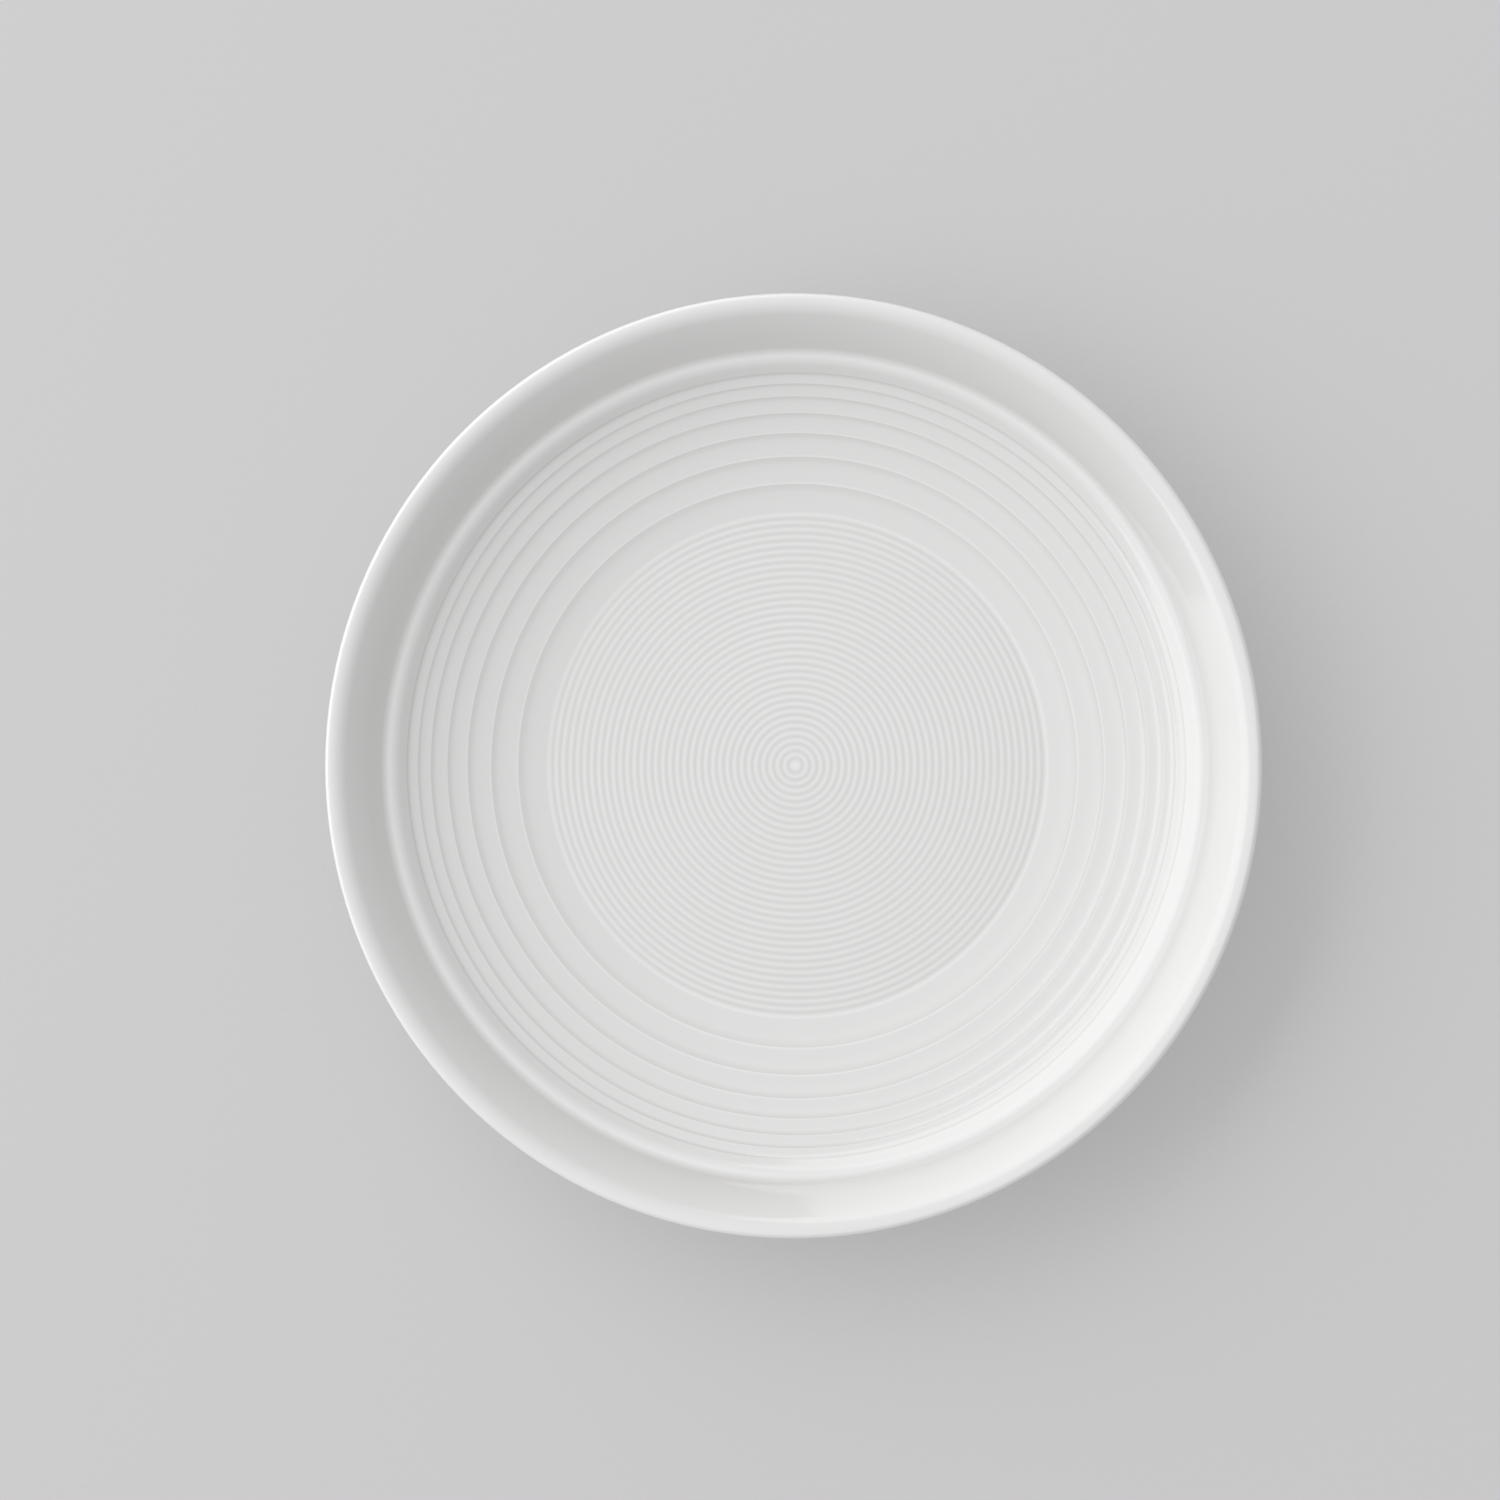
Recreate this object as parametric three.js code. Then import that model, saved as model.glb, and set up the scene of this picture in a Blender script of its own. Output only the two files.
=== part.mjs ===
// Round porcelain dinner plate: a terraced well, a steep wall with a rounded lip, and a foot ring.
// Millimetres, +Z up. The plate lies on its foot, with the origin at the centre of the ground face.
import * as THREE from 'three';

// Overall size and skin
const plateDiameter = 260;
const facets = 48; // flat sides round the plate
const glazeThickness = 0.3;
const glazeSeam = 0.02; // hairline between the clay body and the glaze fused to it

// Floor and foot ring
const floorThickness = 5; // from the glaze under the plate to the glaze in the well
const footHeight = 3.4;
const footInset = 50; // from the plate's edge in to the outside of the foot
const footWidth = 5.2;
const footFillet = 1.6;
const footBevel = 0.6; // ground off each side of the bare face
const bareHeight = 1.2; // the glaze stops this far above the table

// Terraces round the floor of the well: each tread is narrower and steeper than the one inside it,
// and the slope at its start changes most from one outer tread to the next
const treadCount = 6;
const widestTread = 8.5;
const narrowestTread = 3.5;
const treadStartSlopes = { inner: 6.5, outer: 13 };
const treadEndSlopes = { inner: 18.5, outer: 30 };

// Shoulder above the terraces, then a straight bank that rounds over on to a narrow ledge
const shoulderWidth = 2.95;
const shoulderSlopes = { start: 16, end: 38 };
const bankWidth = 2;
const bankSlope = 37;
const brinkWidth = 2.4;
const ledgeWidth = 0.2;
const ledgeSlope = 12;

// Wall and lip
const wallSlope = 41;
const wallRise = 9; // from the ledge to the top of the lip
const wallFillet = 11;
const lipCrown = 7; // radius on the inside of the lip
const lipRound = 1.3; // radius on its outer edge

// Outside, from the lip down to the foot
const outsideSlope = 48; // just below the lip
const flankReach = 18; // pull of that slope on the curve
const undersideReach = 8; // pull of the level underside beside the foot

// Straight steps that draw each curve
const treadSteps = 2;
const brinkSteps = 2;
const roundSteps = 3;
const outsideSteps = 6;

const plateRadius = plateDiameter / 2;
const footOuter = plateRadius - footInset;
const footInner = footOuter - footWidth;
const wellFloor = footHeight + floorThickness;
const bodyInset = glazeThickness + glazeSeam;

const sine = (degrees) => Math.sin(THREE.MathUtils.degToRad(degrees));
const cosine = (degrees) => Math.cos(THREE.MathUtils.degToRad(degrees));
const tangent = (degrees) => Math.tan(THREE.MathUtils.degToRad(degrees));
const last = (points) => points[points.length - 1];

// A profile is a list of points: x is the distance from the plate's axis and y is the height

// Arc that starts at a point and turns from one heading to another; 0 heads straight outward
function turn(start, radius, fromHeading, toHeading, steps) {
  const side = Math.sign(toHeading - fromHeading) * radius;
  return Array.from({ length: steps }, (_, step) => {
    const heading = THREE.MathUtils.lerp(fromHeading, toHeading, (step + 1) / steps);
    return new THREE.Vector2(
      start.x + side * (sine(heading) - sine(fromHeading)),
      start.y + side * (cosine(fromHeading) - cosine(heading)),
    );
  });
}

// Hollow tread whose slope grows with the cube of the distance across it
function scallop(start, width, startSlope, endSlope, steps) {
  const startRate = tangent(startSlope);
  const gain = tangent(endSlope) - startRate;
  return Array.from({ length: steps }, (_, step) => {
    const share = (step + 1) / steps;
    const rise = width * (startRate * share + (gain * share ** 4) / 4);
    return new THREE.Vector2(start.x + width * share, start.y + rise);
  });
}

// Straight stretch that climbs outward at a slope
function ramp(start, width, slope) {
  return new THREE.Vector2(start.x + width, start.y + width * tangent(slope));
}

// The same profile moved sideways by a depth: to its right as it is walked, or left if negative
function inset(points, depth) {
  const normals = points.slice(1).map((point, index) => {
    const step = point.clone().sub(points[index]).normalize();
    return new THREE.Vector2(step.y, -step.x);
  });
  return points.map((point, index) => {
    const before = normals[Math.max(index - 1, 0)];
    const after = normals[Math.min(index, normals.length - 1)];
    const mitre = before.clone().add(after).divideScalar(1 + before.dot(after));
    return point.clone().addScaledVector(mitre, depth);
  });
}

// Length of the straight part of the wall, and how far the whole wall reaches outward
const wallStraight = (wallRise
  - wallFillet * (cosine(ledgeSlope) - cosine(wallSlope))
  - lipCrown * (1 - cosine(wallSlope))) / sine(wallSlope);
const wallReach = wallFillet * (sine(wallSlope) - sine(ledgeSlope))
  + wallStraight * cosine(wallSlope)
  + lipCrown * sine(wallSlope);

const treads = Array.from({ length: treadCount }, (_, index) => {
  const share = treadCount > 1 ? index / (treadCount - 1) : 0;
  return {
    width: THREE.MathUtils.lerp(widestTread, narrowestTread, share),
    startSlope: THREE.MathUtils.lerp(treadStartSlopes.inner, treadStartSlopes.outer, share ** 2),
    endSlope: THREE.MathUtils.lerp(treadEndSlopes.inner, treadEndSlopes.outer, share),
  };
});

// The flat floor of the well takes what the rings round it leave
const treadsWidth = treads.reduce((sum, tread) => sum + tread.width, 0);
const floorRadius = plateRadius - lipRound - wallReach - ledgeWidth - brinkWidth - bankWidth - shoulderWidth
  - treadsWidth;

// Face of the plate, from its centre out to the foot of the wall
function wellProfile() {
  const points = [new THREE.Vector2(0, wellFloor), new THREE.Vector2(floorRadius, wellFloor)];
  for (const tread of treads) {
    points.push(...scallop(last(points), tread.width, tread.startSlope, tread.endSlope, treadSteps));
  }
  points.push(...scallop(last(points), shoulderWidth, shoulderSlopes.start, shoulderSlopes.end, treadSteps));
  points.push(ramp(last(points), bankWidth, bankSlope));
  const brinkRadius = brinkWidth / (sine(bankSlope) - sine(ledgeSlope));
  points.push(...turn(last(points), brinkRadius, bankSlope, ledgeSlope, brinkSteps));
  points.push(ramp(last(points), ledgeWidth, ledgeSlope));
  return points;
}

// Wall, lip, outside and underside, down to where the glaze stops on the foot
function rimProfile(ledgeEdge) {
  const points = turn(ledgeEdge, wallFillet, ledgeSlope, wallSlope, roundSteps);
  points.push(ramp(last(points), wallStraight * cosine(wallSlope), wallSlope));
  points.push(...turn(last(points), lipCrown, wallSlope, 0, roundSteps));
  points.push(...turn(last(points), lipRound, 0, -90, roundSteps));
  const outsideHeading = outsideSlope - 180;
  const [lipEnd] = turn(last(points), lipRound, -90, outsideHeading, 1);
  points.push(lipEnd);
  const flankPull = new THREE.Vector2(cosine(outsideHeading), sine(outsideHeading)).multiplyScalar(flankReach);
  const underside = new THREE.Vector2(footOuter + footFillet, footHeight);
  const outside = new THREE.CubicBezierCurve(
    lipEnd,
    lipEnd.clone().add(flankPull),
    new THREE.Vector2(underside.x + undersideReach, underside.y),
    underside,
  );
  points.push(...outside.getPoints(outsideSteps).slice(1));
  points.push(...turn(underside, footFillet, 180, 270, roundSteps));
  points.push(new THREE.Vector2(footOuter, bareHeight));
  return points;
}

// Hollow under the plate, from its centre out to where the glaze stops inside the foot
function recessProfile() {
  const fillet = new THREE.Vector2(footInner - footFillet, footHeight);
  return [
    new THREE.Vector2(0, footHeight),
    fillet,
    ...turn(fillet, footFillet, 0, -90, roundSteps),
    new THREE.Vector2(footInner, bareHeight),
  ];
}

// Bare ground face of the foot with a bevel on each side, walked outward between two profiles
function groundProfile(innerX, outerX) {
  return [
    new THREE.Vector2(innerX, footBevel),
    new THREE.Vector2(innerX + footBevel, 0),
    new THREE.Vector2(outerX - footBevel, 0),
    new THREE.Vector2(outerX, footBevel),
  ];
}

// Solid of revolution about +Z
function turned(name, profile, material) {
  const geometry = new THREE.LatheGeometry(profile, facets);
  geometry.rotateX(Math.PI / 2);
  const mesh = new THREE.Mesh(geometry, material);
  mesh.name = name;
  return mesh;
}

const well = wellProfile();
const coat = [...well, ...rimProfile(last(well))];
const recess = recessProfile();

const porcelain = new THREE.MeshStandardMaterial({ color: 0xe9e5db, roughness: 0.75, metalness: 0 });
const glaze = new THREE.MeshStandardMaterial({ color: 0xf2f2ef, roughness: 0.12, metalness: 0 });

// Clay body, fired white, which also forms the bare foot
function porcelainBody() {
  const under = inset(recess, -bodyInset);
  const over = inset(coat, bodyInset).reverse();
  return turned('porcelain_body', [...under, ...groundProfile(last(under).x, over[0].x), ...over], porcelain);
}

// Glaze over the face, the lip and the outside
function faceGlaze() {
  return turned('face_glaze', [...inset(coat, glazeThickness), ...coat.slice().reverse()], glaze);
}

// Glaze in the hollow inside the foot
function baseGlaze() {
  return turned('base_glaze', [...recess, ...inset(recess, -glazeThickness).reverse()], glaze);
}

const plate = new THREE.Group();
plate.add(porcelainBody(), faceGlaze(), baseGlaze());

export default plate;
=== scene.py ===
# Round white porcelain dinner plate with pressed rings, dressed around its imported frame.
import math

import bpy
from mathutils import Matrix, Vector


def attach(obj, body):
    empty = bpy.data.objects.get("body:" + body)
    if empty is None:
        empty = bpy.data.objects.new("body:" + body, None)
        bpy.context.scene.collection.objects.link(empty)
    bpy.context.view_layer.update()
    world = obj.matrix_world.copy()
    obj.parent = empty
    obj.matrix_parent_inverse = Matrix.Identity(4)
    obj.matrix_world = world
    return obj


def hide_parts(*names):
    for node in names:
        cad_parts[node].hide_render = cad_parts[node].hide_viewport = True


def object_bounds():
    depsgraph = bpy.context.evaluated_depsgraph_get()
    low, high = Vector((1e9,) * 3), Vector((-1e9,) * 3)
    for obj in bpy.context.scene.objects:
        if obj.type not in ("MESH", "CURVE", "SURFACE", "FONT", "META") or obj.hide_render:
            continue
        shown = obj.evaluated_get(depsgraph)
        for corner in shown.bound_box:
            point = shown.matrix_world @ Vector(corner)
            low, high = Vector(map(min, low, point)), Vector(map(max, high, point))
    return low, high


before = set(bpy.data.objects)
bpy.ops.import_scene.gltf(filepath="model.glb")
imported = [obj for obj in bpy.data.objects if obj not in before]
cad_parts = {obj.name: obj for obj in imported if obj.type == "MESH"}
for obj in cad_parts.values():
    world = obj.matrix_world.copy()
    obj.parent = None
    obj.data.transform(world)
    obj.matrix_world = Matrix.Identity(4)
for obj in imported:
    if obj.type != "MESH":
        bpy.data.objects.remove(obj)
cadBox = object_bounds()
print("frame loaded:", ", ".join(sorted(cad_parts)))

mm = 0.001  # every shape and pattern below is written in millimetres and made in metres
plateRadius = (cadBox[1].x - cadBox[0].x) / 2 / mm
sidesRound = 144  # flat sides round the plate: too short to see at its edge


# Angles and shares

def sine(degrees):
    return math.sin(math.radians(degrees))


def cosine(degrees):
    return math.cos(math.radians(degrees))


def tangent(degrees):
    return math.tan(math.radians(degrees))


def between(start, end, share):
    return start + (end - start) * share


# Shader nodes

def toLinear(hexColour):  # sRGB hex to the linear colour that shaders take
    parts = [int(hexColour[place:place + 2], 16) / 255 for place in (0, 2, 4)]
    linear = [part / 12.92 if part <= 0.04045 else ((part + 0.055) / 1.055) ** 2.4 for part in parts]
    return (*linear, 1.0)


def socketOf(node, name):  # an input by its own identifier, or else by the name it shows
    exact = [socket for socket in node.inputs if socket.identifier == name]
    return exact[0] if exact else node.inputs[name]


def addNode(tree, kind, settings=None, links=None):  # one node, with its settings and what feeds it
    node = tree.nodes.new(kind)
    for name, value in (settings or {}).items():
        if hasattr(node, name):
            setattr(node, name, value)
        else:
            socketOf(node, name).default_value = value
    for name, source in (links or {}).items():
        tree.links.new(source, socketOf(node, name))
    return node


def newFinish(name):  # an empty material, its node tree and the place on the piece that patterns follow
    material = bpy.data.materials.new(name)
    material.use_nodes = True
    tree = material.node_tree
    tree.nodes.clear()
    place = addNode(tree, "ShaderNodeTexCoord").outputs["Object"]
    return material, tree, place


def noise(tree, place, size, detail):  # soft pattern with blobs about this big
    node = addNode(
        tree, "ShaderNodeTexNoise", {"Scale": 1 / (size * mm), "Detail": detail}, {"Vector": place},
    )
    return node.outputs["Fac"]


def spread(tree, pattern, edges, ends):  # what lies between two edges of a pattern, drawn out to two ends
    node = addNode(
        tree, "ShaderNodeMapRange",
        {"From Min": edges[0], "From Max": edges[1], "To Min": ends[0], "To Max": ends[1]},
        {"Value": pattern},
    )
    return node.outputs["Result"]


def blend(tree, share, firstTint, secondTint):  # from one plain tint to another
    node = addNode(
        tree, "ShaderNodeMix",
        {"data_type": "RGBA", "A_Color": toLinear(firstTint), "B_Color": toLinear(secondTint)},
        {"Factor_Float": share},
    )
    return node.outputs["Result"]


def overlay(tree, share, colour, tint):  # a plain tint laid over a colour
    node = addNode(
        tree, "ShaderNodeMix",
        {"data_type": "RGBA", "B_Color": toLinear(tint)},
        {"Factor_Float": share, "A_Color": colour},
    )
    return node.outputs["Result"]


def skin(tree, colour, roughness, relief, reliefHeight, ior):  # surface that a pattern raises a little
    bump = addNode(
        tree, "ShaderNodeBump", {"Strength": 1.0, "Distance": reliefHeight * mm}, {"Height": relief},
    )
    shader = addNode(
        tree, "ShaderNodeBsdfPrincipled", {"IOR": ior},
        {"Base Color": colour, "Roughness": roughness, "Normal": bump.outputs["Normal"]},
    )
    addNode(tree, "ShaderNodeOutputMaterial", {}, {"Surface": shader.outputs["BSDF"]})


# A profile is a list of (radius, height, glaze depth). The glaze depth also paints light and shade: high is
# darker, painted shade in corners and grooves; low is paler, a painted highlight on crests.
thin = 0.0  # runs off a crest
plain = 0.4  # even ground
pooledAndShaded = 1.0  # the glaze gathers in a corner; darkest, with painted shade there


def turn(start, radius, fromHeading, toHeading, steps, poolingAndShade=(plain, plain)):  # arc; 0 heads outward
    side = math.copysign(radius, toHeading - fromHeading)
    points = []
    for step in range(1, steps + 1):
        heading = between(fromHeading, toHeading, step / steps)
        points.append((
            start[0] + side * (sine(heading) - sine(fromHeading)),
            start[1] + side * (cosine(fromHeading) - cosine(heading)),
            between(*poolingAndShade, step / steps),
        ))
    return points


def ramp(start, width, slope, poolingAndShade):  # straight stretch that climbs outward
    return (start[0] + width, start[1] + width * tangent(slope), poolingAndShade)


def soften(points, passes):  # melted glaze rounds every corner a little
    for _ in range(passes):
        moved = [
            tuple((before[axis] + 2 * here[axis] + after[axis]) / 4 for axis in (0, 1)) + (here[2],)
            for before, here, after in zip(points, points[1:], points[2:])
        ]
        points = [points[0], *moved, points[-1]]
    return points


def inset(points, depth):  # the same profile moved to its right as it is walked, or left if negative
    normals = []
    for here, after in zip(points, points[1:]):
        length = math.dist(here[:2], after[:2])
        normals.append(((after[1] - here[1]) / length, (here[0] - after[0]) / length))
    moved = []
    for index, point in enumerate(points):
        before = normals[max(index - 1, 0)]
        after = normals[min(index, len(normals) - 1)]
        mitre = 1 + before[0] * after[0] + before[1] * after[1]
        moved.append((
            point[0] + depth * (before[0] + after[0]) / mitre,
            point[1] + depth * (before[1] + after[1]) / mitre,
            point[2],
        ))
    return moved


def turnOnWheel(name, profile):  # closed body of revolution; its profile runs from the axis back to the axis
    rings = profile[1:-1]
    points = [(0, 0, profile[0][1] * mm)]
    poolingAndShade = [profile[0][2]]
    for radius, height, depth in rings:
        for side in range(sidesRound):
            angle = 2 * math.pi * side / sidesRound
            points.append((radius * mm * math.cos(angle), radius * mm * math.sin(angle), height * mm))
            poolingAndShade.append(depth)
    points.append((0, 0, profile[-1][1] * mm))
    poolingAndShade.append(profile[-1][2])
    faces = []
    lastRing = 1 + (len(rings) - 1) * sidesRound
    for side in range(sidesRound):
        following = (side + 1) % sidesRound
        faces.append((0, 1 + side, 1 + following))
        faces.append((lastRing + following, lastRing + side, len(points) - 1))
        for ring in range(len(rings) - 1):
            inner = 1 + ring * sidesRound
            outer = inner + sidesRound
            faces.append((inner + side, outer + side, outer + following, inner + following))
    mesh = bpy.data.meshes.new(name)
    mesh.from_pydata(points, [], faces)
    mesh.shade_smooth()
    # each point's glaze depth, which also paints shade in corners and grooves and highlights on crests
    poolingAndShadeLayer = mesh.attributes.new("glazePoolingAndShade", "FLOAT", "POINT")
    poolingAndShadeLayer.data.foreach_set("value", poolingAndShade)
    piece = bpy.data.objects.new(name, mesh)
    bpy.context.scene.collection.objects.link(piece)
    print(name, "turned:", len(faces), "faces")
    return piece


# Foot ring and underside
foot = {
    "height": 3.4,
    "inset": 50.0,  # from the plate's edge in to the outside of the foot
    "width": 5.2,
    "fillet": 1.6,
    "bevel": 0.6,  # ground off each side of the bare face
    "bareHeight": 1.2,  # the glaze stops this far above the table
    "steps": 8,
}
footOuter = plateRadius - foot["inset"]
footInner = footOuter - foot["width"]


def recessProfile():  # hollow inside the foot, from the centre out to where its glaze stops
    fillet = (footInner - foot["fillet"], foot["height"], plain)
    points = [(0, foot["height"], plain), (fillet[0] / 2, foot["height"], plain), fillet]
    # the corner is painted darkest as shade, where the glaze also gathers
    points += turn(fillet, foot["fillet"], 0, -90, foot["steps"], (pooledAndShaded, pooledAndShaded))
    points.append((footInner, foot["bareHeight"], thin))
    return points


def groundProfile(innerRadius, outerRadius):  # bare ground face with a worn bevel on each side
    bevel = foot["bevel"]
    inner = turn((innerRadius, bevel, plain), bevel, -90, 0, foot["steps"])
    outer = turn((outerRadius - bevel, 0, plain), bevel, 0, 90, foot["steps"])
    middle = ((innerRadius + outerRadius) / 2, 0, plain)
    return [(innerRadius, bevel, plain), *inner, middle, (outerRadius - bevel, 0, plain), *outer]


# Well: a flat floor with fine pressed rings, then terraces that climb to the wall
well = {
    "floorThickness": 5.0,  # from the glaze under the plate to the glaze in the well
    "ringCount": 34,
    "ringDepth": 0.055,
    "ringPoolingAndShade": (0.2, 0.6),  # on the crests and in the grooves; the grooves are painted darker as shade, where the glaze also lies deeper
    "ringSteps": 8,
    "eyeSize": 0.5,  # radius of the level eye in the middle, as a share of the rings' spacing
    "treadCount": 6,
    "widestTread": 8.5,
    "narrowestTread": 3.5,
    "startSlopes": (6.5, 13),  # where a tread begins, on the first and on the last
    "endSlopes": (18.5, 30),  # where it ends
    "spacing": 0.25,  # between the points of a tread
    "thinHighlightShare": 0.12,  # of a tread, where the glaze has run off the last crest, painted pale as a highlight
    "pooledShadeShare": 0.25,  # of a tread, where it gathers under the next crest, painted darker as shade
    # palest on the crest: thin glaze and a painted highlight
    "crestPoolingAndHighlight": 0.0,
    "treadPoolingAndShade": 0.38,
    "hollowPoolingAndShade": (0.63, 0.85),  # darker under the first crest and under the last: pooled glaze and painted shade
    "softening": 7,  # passes of softening on the crests
    "shoulderWidth": 2.95,
    "shoulderSlopes": (16, 38),
    "bankWidth": 2.0,  # straight climb above the shoulder
    "bankSlope": 37,
    "bankPooling": 0.45,
    "brinkWidth": 2.4,  # rounded over from the bank on to the ledge
    "brinkSteps": 6,
    "ledgeWidth": 0.2,
    "ledgeSlope": 12,
    # painted pale on the ledge, as a highlight where the brink rounds over; the glaze also runs thin there
    "ledgePoolingAndHighlight": 0.12,
}
wellFloor = foot["height"] + well["floorThickness"]

# Wall and lip
rim = {
    "wallSlope": 41,
    "wallRise": 9.0,  # from the ledge to the top of the lip
    "wallFillet": 11.0,
    "coveSteps": 6,
    "covePoolingAndShade": 0.92,  # the glaze runs down the wall and gathers at its foot, and the cove is painted darker there as shade
    "coveDeepestAndDarkest": 0.4,  # share of the way up the cove where it lies deepest and the painted shade is darkest
    "wallPoolingAndShade": (0.72, 0.5),  # glaze depth and painted shade, at the foot of the wall and below the lip
    # thin glaze on the lip, painted pale as a highlight on its crown and edge
    "lipPoolingAndHighlight": 0.12,
    "lipCrown": 7.0,  # radius on the inside of the lip
    "lipRound": 1.3,  # radius on its outer edge
    "lipSteps": 12,
    "lipUnderSteps": 6,
    "outsideSlope": 48,  # just below the lip
    "flankReach": 18.0,  # pull of that slope on the outside curve
    "undersideReach": 8.0,  # pull of the level underside beside the foot
    "outsideSteps": 28,
}
wallStraight = (
    rim["wallRise"]
    - rim["wallFillet"] * (cosine(well["ledgeSlope"]) - cosine(rim["wallSlope"]))
    - rim["lipCrown"] * (1 - cosine(rim["wallSlope"]))
) / sine(rim["wallSlope"])
wallReach = (
    rim["wallFillet"] * (sine(rim["wallSlope"]) - sine(well["ledgeSlope"]))
    + wallStraight * cosine(rim["wallSlope"])
    + rim["lipCrown"] * sine(rim["wallSlope"])
)


def treadPlan():  # width, two slopes and the glaze under the crest of each tread, graded outward
    plan = []
    for index in range(well["treadCount"]):
        share = index / (well["treadCount"] - 1)
        width = between(well["widestTread"], well["narrowestTread"], share)
        startSlope = between(*well["startSlopes"], share ** 2)
        endSlope = between(*well["endSlopes"], share)
        plan.append((width, startSlope, endSlope, between(*well["hollowPoolingAndShade"], share)))
    return plan


treads = treadPlan()
floorRadius = (
    plateRadius - rim["lipRound"] - wallReach - well["ledgeWidth"] - well["brinkWidth"]
    - well["bankWidth"] - well["shoulderWidth"] - sum(tread[0] for tread in treads)
)


def fineRings():  # ripples pressed in the floor, with a groove at every whole step from the centre
    pitch = floorRadius / (well["ringCount"] + well["eyeSize"])
    points = [(0, wellFloor, thin)]
    for step in range(well["ringCount"] * well["ringSteps"] + 1):
        radius = pitch * (well["eyeSize"] + step / well["ringSteps"])
        groove = 0.5 + 0.5 * math.cos(2 * math.pi * radius / pitch)  # 1 in a groove, 0 on a crest
        # grooves painted darker as shade, crests paler
        points.append((radius, wellFloor - well["ringDepth"] * groove, between(*well["ringPoolingAndShade"], groove)))
    return points


def treadPoolingAndShade(share, hollowPoolingAndShade):  # thin and painted pale past the last crest, even, then deeper and painted as shade under the next one
    if share < well["thinHighlightShare"]:
        return between(well["crestPoolingAndHighlight"], well["treadPoolingAndShade"], share / well["thinHighlightShare"])
    if share < 1 - well["pooledShadeShare"]:
        return well["treadPoolingAndShade"]
    deeper = (share - 1 + well["pooledShadeShare"]) / well["pooledShadeShare"]
    return between(well["treadPoolingAndShade"], hollowPoolingAndShade, deeper)


def scallop(start, width, startSlope, endSlope, hollowPoolingAndShade):  # slope grows with the cube of the distance
    startRate = tangent(startSlope)
    gain = tangent(endSlope) - startRate
    steps = round(width / well["spacing"])
    points = []
    for step in range(1, steps + 1):
        share = step / steps
        rise = width * (startRate * share + gain * share ** 4 / 4)
        points.append((start[0] + width * share, start[1] + rise, treadPoolingAndShade(share, hollowPoolingAndShade)))
    return points


def terraces(start):  # treads, shoulder, bank, narrow ledge and the cove at the foot of the wall
    points = [start]
    for tread in treads:
        points += scallop(points[-1], *tread)
    points += scallop(points[-1], well["shoulderWidth"], *well["shoulderSlopes"], well["hollowPoolingAndShade"][1])
    bankSteps = round(well["bankWidth"] / well["spacing"])
    for _ in range(bankSteps):
        points.append(ramp(points[-1], well["bankWidth"] / bankSteps, well["bankSlope"], well["bankPooling"]))
    brinkRadius = well["brinkWidth"] / (sine(well["bankSlope"]) - sine(well["ledgeSlope"]))
    points += turn(
        points[-1], brinkRadius, well["bankSlope"], well["ledgeSlope"], well["brinkSteps"],
        (well["bankPooling"], well["ledgePoolingAndHighlight"]),
    )
    points.append(ramp(points[-1], well["ledgeWidth"], well["ledgeSlope"], well["ledgePoolingAndHighlight"]))
    # the cove is painted darker as shade, darkest part way up, where the glaze also gathers
    deepSlope = between(well["ledgeSlope"], rim["wallSlope"], rim["coveDeepestAndDarkest"])
    points += turn(
        points[-1], rim["wallFillet"], well["ledgeSlope"], deepSlope, rim["coveSteps"],
        (well["ledgePoolingAndHighlight"], rim["covePoolingAndShade"]),
    )
    points += turn(
        points[-1], rim["wallFillet"], deepSlope, rim["wallSlope"], rim["coveSteps"],
        (rim["covePoolingAndShade"], rim["wallPoolingAndShade"][0]),
    )
    return soften(points, well["softening"])


def wallAndOutside(start):  # wall, lip and outside curve, down to where the glaze stops on the foot
    topPooling = rim["wallPoolingAndShade"][1]
    lipPoolingAndHighlight = rim["lipPoolingAndHighlight"]
    points = [ramp(start, wallStraight * cosine(rim["wallSlope"]), rim["wallSlope"], topPooling)]
    # the crown and outer edge are painted pale as a highlight, where the glaze runs thin
    points += turn(
        points[-1], rim["lipCrown"], rim["wallSlope"], 0, rim["lipSteps"], (topPooling, lipPoolingAndHighlight),
    )
    points += turn(points[-1], rim["lipRound"], 0, -90, rim["lipSteps"], (lipPoolingAndHighlight, lipPoolingAndHighlight))
    heading = rim["outsideSlope"] - 180
    points += turn(points[-1], rim["lipRound"], -90, heading, rim["lipUnderSteps"])
    lipEnd = Vector(points[-1][:2])
    flankPull = lipEnd + rim["flankReach"] * Vector((cosine(heading), sine(heading)))
    underside = Vector((footOuter + foot["fillet"], foot["height"]))
    undersidePull = underside + Vector((rim["undersideReach"], 0))
    for step in range(1, rim["outsideSteps"] + 1):
        share = step / rim["outsideSteps"]
        rest = 1 - share
        spot = (
            rest ** 3 * lipEnd + 3 * rest ** 2 * share * flankPull
            + 3 * rest * share ** 2 * undersidePull + share ** 3 * underside
        )
        points.append((spot.x, spot.y, plain))
    # the corner is painted darkest as shade, where the glaze also gathers
    points += turn(underside, foot["fillet"], 180, 270, foot["steps"], (pooledAndShaded, pooledAndShaded))
    points.append((footOuter, foot["bareHeight"], thin))
    return points


# Finishes

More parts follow.
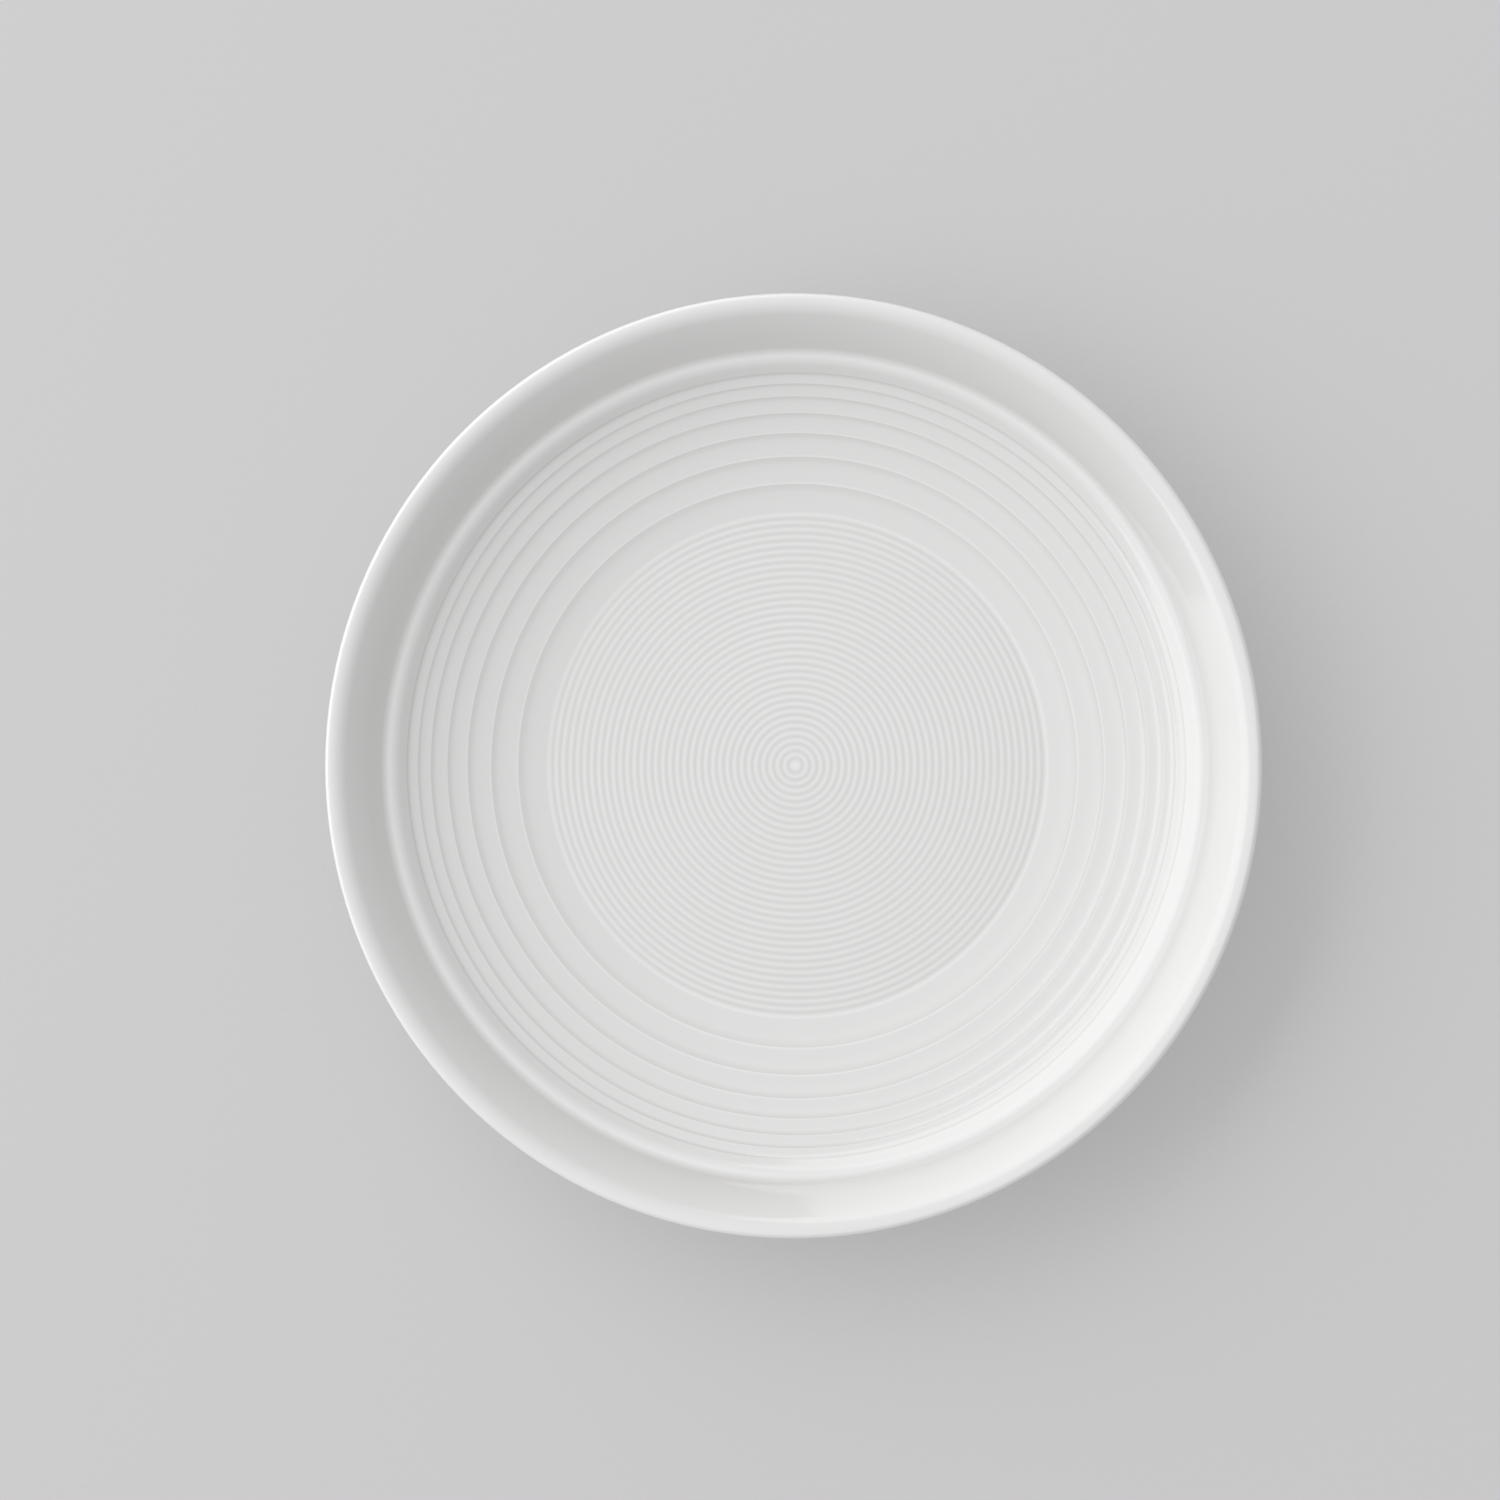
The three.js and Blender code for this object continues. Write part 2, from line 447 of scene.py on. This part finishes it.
def glazedPorcelain():
    # Hard porcelain dipped in clear glaze and fired glossy: a clean white with soft mirror streaks,
    # a shade greyer where the glaze gathers, with painted shade in grooves and corners and a painted
    # highlight on crests, and a skin that ripples very slightly.
    finish = {
        "thinHighlightTint": "f4f4f4",
        "pooledShadeTint": "d0d0cf",
        "cloudTint": "e3e3e2",
        "cloudSize": 70.0,
        "cloudDetail": 2.0,
        "cloudEdges": (0.35, 0.65),
        "cloudShare": 0.18,
        "smearSize": 24.0,
        "smearDetail": 4.0,
        "smearEdges": (0.3, 0.7),
        "roughness": (0.08, 0.15),
        "rippleSize": 6.0,
        "rippleDetail": 1.0,
        "rippleHeight": 0.012,
        "ior": 1.5,
    }
    material, tree, place = newFinish("glazedPorcelain")
    # the tint follows each point's glaze depth, which also paints shade in grooves and corners and highlights
    # on crests
    depth = addNode(tree, "ShaderNodeAttribute", {"attribute_name": "glazePoolingAndShade"}).outputs["Fac"]
    glazeColourAndShade = blend(tree, depth, finish["thinHighlightTint"], finish["pooledShadeTint"])
    cloud = noise(tree, place, finish["cloudSize"], finish["cloudDetail"])
    cloudShare = spread(tree, cloud, finish["cloudEdges"], (0, finish["cloudShare"]))
    colour = overlay(tree, cloudShare, glazeColourAndShade, finish["cloudTint"])
    smear = noise(tree, place, finish["smearSize"], finish["smearDetail"])
    roughness = spread(tree, smear, finish["smearEdges"], finish["roughness"])
    ripple = noise(tree, place, finish["rippleSize"], finish["rippleDetail"])
    skin(tree, colour, roughness, ripple, finish["rippleHeight"], finish["ior"])
    return material


def barePorcelain():
    # The same clay left unglazed and ground flat on the foot: chalky, warm white, finely gritty,
    # with faint grey rub marks from tables and shelves.
    finish = {
        "clayTint": "e6e1d6",
        "gritTint": "d3ccbe",
        "gritSize": 0.6,  # real grit is about 0.1 mm; drawn coarser so that it shows
        "gritDetail": 3.0,
        "gritEdges": (0.3, 0.7),
        "gritHeight": 0.03,
        "roughness": (0.6, 0.85),
        "rubTint": "aaa69e",
        "rubSize": 9.0,
        "rubDetail": 6.0,
        "rubEdges": (0.52, 0.68),
        "rubShare": 0.3,
        "ior": 1.5,
    }
    material, tree, place = newFinish("barePorcelain")
    grit = noise(tree, place, finish["gritSize"], finish["gritDetail"])
    clayColour = blend(tree, grit, finish["clayTint"], finish["gritTint"])
    rub = noise(tree, place, finish["rubSize"], finish["rubDetail"])
    rubShare = spread(tree, rub, finish["rubEdges"], (0, finish["rubShare"]))
    colour = overlay(tree, rubShare, clayColour, finish["rubTint"])
    roughness = spread(tree, grit, finish["gritEdges"], finish["roughness"])
    skin(tree, colour, roughness, grit, finish["gritHeight"], finish["ior"])
    return material


glazeFinish = glazedPorcelain()
clayFinish = barePorcelain()
print("finishes made")


# Pieces
coat = {
    "thickness": 0.3,
    "seam": 0.02,  # hairline between the glaze and the clay
    "hiddenStep": 5,  # the side of the glaze that no one sees keeps one point in this many
}
bodyInset = coat["thickness"] + coat["seam"]


def groundUnderGlaze(slopes, outside):  # flat under the fine rings, then the same shape with fewer points
    return [(0, wellFloor, plain), *slopes[:-1:coat["hiddenStep"]], slopes[-1], *outside]


rings = fineRings()
slopes = terraces(rings[-1])
outside = wallAndOutside(slopes[-1])
faceSkin = rings + slopes[1:] + outside
faceGround = groundUnderGlaze(slopes, outside)
recess = recessProfile()


def dress(piece, finish, node):  # the piece stands for a node, and moves with the plate
    piece.data.materials.append(finish)
    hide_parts(node)
    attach(piece, "root")


def glazedFace():  # glaze over the face, the lip and the outside
    inside = inset(faceGround, coat["thickness"])
    piece = turnOnWheel("glazedFace", faceSkin + inside[::-1])
    dress(piece, glazeFinish, "face_glaze")


def glazedHollow():  # glaze in the hollow inside the foot
    inside = inset(recess, -coat["thickness"])
    piece = turnOnWheel("glazedHollow", inside + recess[::-1])
    dress(piece, glazeFinish, "base_glaze")


def clayBody():  # clay under both coats, bare on the foot
    over = inset(faceGround, bodyInset)
    under = inset(recess, -bodyInset)
    ground = groundProfile(under[-1][0], over[-1][0])
    piece = turnOnWheel("clayBody", over + ground[::-1] + under[::-1])
    dress(piece, clayFinish, "porcelain_body")


glazedFace()
glazedHollow()
clayBody()
print("pieces dressed")


# Stage
studio = {
    "floorTint": "dedddf",
    "roomTint": "cccbcb",  # also the far paper, so that no horizon shows
    "nearShare": 0.35,  # of the room's even tone in the paper by the plate, which lifts the shadow
    "floorSpan": 12.0,  # metres
    "fadeStart": 0.7,  # metres from the plate's centre, where the floor begins to melt into the backdrop
    "fadeEnd": 2.6,
    "grainTint": "000000",
    "grainSize": 1.5,
    "grainDetail": 2.0,
    "grainShare": 0.04,
    "paperRoughness": 0.5,
}


def paperSweep():
    # Matt grey background paper: even and soft, with a barely visible tooth,
    # melting into the backdrop far off.
    material, tree, place = newFinish("paperSweep")
    grain = noise(tree, place, studio["grainSize"], studio["grainDetail"])
    grainShare = spread(tree, grain, (0, 1), (0, studio["grainShare"]))
    colour = blend(tree, grainShare, studio["floorTint"], studio["grainTint"])
    paper = addNode(
        tree, "ShaderNodeBsdfDiffuse", {"Roughness": studio["paperRoughness"]}, {"Color": colour},
    )
    backdrop = addNode(tree, "ShaderNodeEmission", {"Color": toLinear(studio["roomTint"])})
    distance = addNode(tree, "ShaderNodeVectorMath", {"operation": "LENGTH"}, {"Vector": place})
    fade = addNode(
        tree, "ShaderNodeMapRange",
        {
            "interpolation_type": "SMOOTHSTEP",
            "From Min": studio["fadeStart"],
            "From Max": studio["fadeEnd"],
            "To Min": studio["nearShare"],
        },
        {"Value": distance.outputs["Value"]},
    )
    sweep = addNode(
        tree, "ShaderNodeMixShader", {},
        {
            "Fac": fade.outputs["Result"],
            "Shader": paper.outputs["BSDF"],
            "Shader_001": backdrop.outputs["Emission"],
        },
    )
    addNode(tree, "ShaderNodeOutputMaterial", {}, {"Surface": sweep.outputs["Shader"]})
    return material


def floor():
    half = studio["floorSpan"] / 2
    corners = [(-half, -half), (half, -half), (half, half), (-half, half)]
    mesh = bpy.data.meshes.new("paperFloor")
    mesh.from_pydata([(x, y, cadBox[0].z) for x, y in corners], [], [(0, 1, 2, 3)])
    mesh.materials.append(paperSweep())
    sheet = bpy.data.objects.new("paperFloor", mesh)
    bpy.context.scene.collection.objects.link(sheet)


floor()

# Light: an even room, and one large softbox from the upper left of the picture
keyLamp = {
    "azimuth": 152,  # degrees round from +X
    "elevation": 34,
    "distance": 2.0,  # metres, as are the two below
    "width": 4.4,
    "height": 1.8,
    "power": 41.5,  # watts
}


def roomLight():
    world = bpy.data.worlds.new("evenRoom")
    world.use_nodes = True
    tree = world.node_tree
    tree.nodes.clear()
    glow = addNode(tree, "ShaderNodeBackground", {"Color": toLinear(studio["roomTint"])})
    addNode(tree, "ShaderNodeOutputWorld", {}, {"Surface": glow.outputs["Background"]})
    bpy.context.scene.world = world


def softbox(name, plan):
    lamp = bpy.data.lights.new(name, "AREA")
    lamp.shape = "RECTANGLE"
    lamp.size = plan["width"]
    lamp.size_y = plan["height"]
    lamp.energy = plan["power"]
    holder = bpy.data.objects.new(name, lamp)
    reach = plan["distance"] * cosine(plan["elevation"])
    holder.location = (
        reach * cosine(plan["azimuth"]),
        reach * sine(plan["azimuth"]),
        plan["distance"] * sine(plan["elevation"]),
    )
    holder.rotation_euler = (-holder.location).to_track_quat("-Z", "Y").to_euler()
    bpy.context.scene.collection.objects.link(holder)


roomLight()
softbox("keySoftbox", keyLamp)
print("stage and light set")

# Camera: looks down on the face from a little to the right
viewpoint = {
    "distance": 1.2,  # metres from the centre of the plate's edge circle
    "turnedRight": 7.8,  # degrees off the plate's axis
    "lens": 104.7,  # millimetres, on a 36 mm sensor
    "imageSide": 1500,  # pixels
    "plateCentre": (786.4, 765.7),  # where the edge circle's centre lies in the picture
    "edgeRadius": 472.8,  # its half height in the picture
}


def camera():
    turned = Vector((sine(viewpoint["turnedRight"]), 0, cosine(viewpoint["turnedRight"])))
    edgeCentre = Vector((0, 0, cadBox[1].z - rim["lipRound"] * mm))
    place = edgeCentre + viewpoint["distance"] * turned
    metresPerPixel = plateRadius * mm / viewpoint["edgeRadius"]
    across, down = [(spot - viewpoint["imageSide"] / 2) * metresPerPixel for spot in viewpoint["plateCentre"]]
    pictureUp = Vector((0, 1, 0))
    pictureRight = pictureUp.cross(turned)
    target = edgeCentre - across * pictureRight + down * pictureUp
    back = (place - target).normalized()
    right = pictureUp.cross(back).normalized()
    turnMatrix = Matrix((right, back.cross(right), back)).transposed()
    data = bpy.data.cameras.new("camera")
    data.lens = viewpoint["lens"]
    holder = bpy.data.objects.new("camera", data)
    holder.matrix_world = Matrix.Translation(place) @ turnMatrix.to_4x4()
    bpy.context.scene.collection.objects.link(holder)
    bpy.context.scene.camera = holder


camera()
bpy.context.scene.view_settings.view_transform = "Standard"
print("camera placed")
